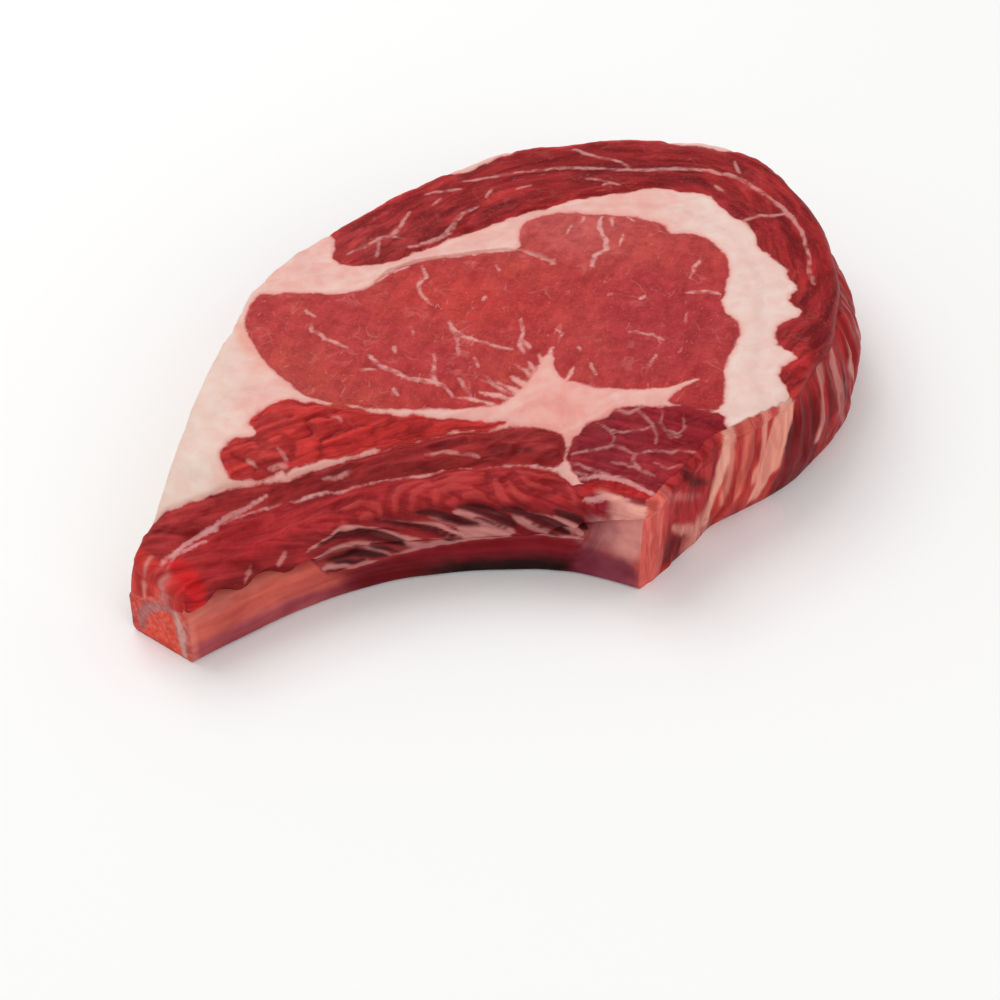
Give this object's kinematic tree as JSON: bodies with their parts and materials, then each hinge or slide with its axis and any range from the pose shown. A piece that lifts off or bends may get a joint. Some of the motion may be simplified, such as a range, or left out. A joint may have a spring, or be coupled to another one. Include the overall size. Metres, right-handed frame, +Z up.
{
  "type": "bone-in ribeye steak",
  "caption": "Raw bone-in ribeye steak lying flat: red eye, cap and rib muscles in a connected web of cream fat, with a curved rib bone along one edge.",
  "frame": {"origin": "middle of the steak's bounding box, on the face it rests on", "axes": "+X along the rib from its sawn tip to the chine end, +Y from the rib towards the cap, +Z up"},
  "size_m": [0.1915, 0.1799, 0.0358],
  "materials": {
    "eye_meat": "moist raw meat",
    "cap_meat": "moist raw meat",
    "tail_meat": "moist raw meat",
    "upper_band_meat": "moist raw meat",
    "lower_band_meat": "moist raw meat",
    "chine_meat": "moist raw meat",
    "fat": "soft waxy fat",
    "bone": "sawn bone with a thin film"
  },
  "bodies": {
    "root": {"rib_bone": "bone", "fat": "fat", "ribeye_muscle": "eye_meat", "cap_muscle": "cap_meat", "tail_muscle": "tail_meat", "upper_intercostal_muscle": "upper_band_meat", "lower_intercostal_muscle": "lower_band_meat", "chine_muscle": "chine_meat"}
  },
  "joints": []
}
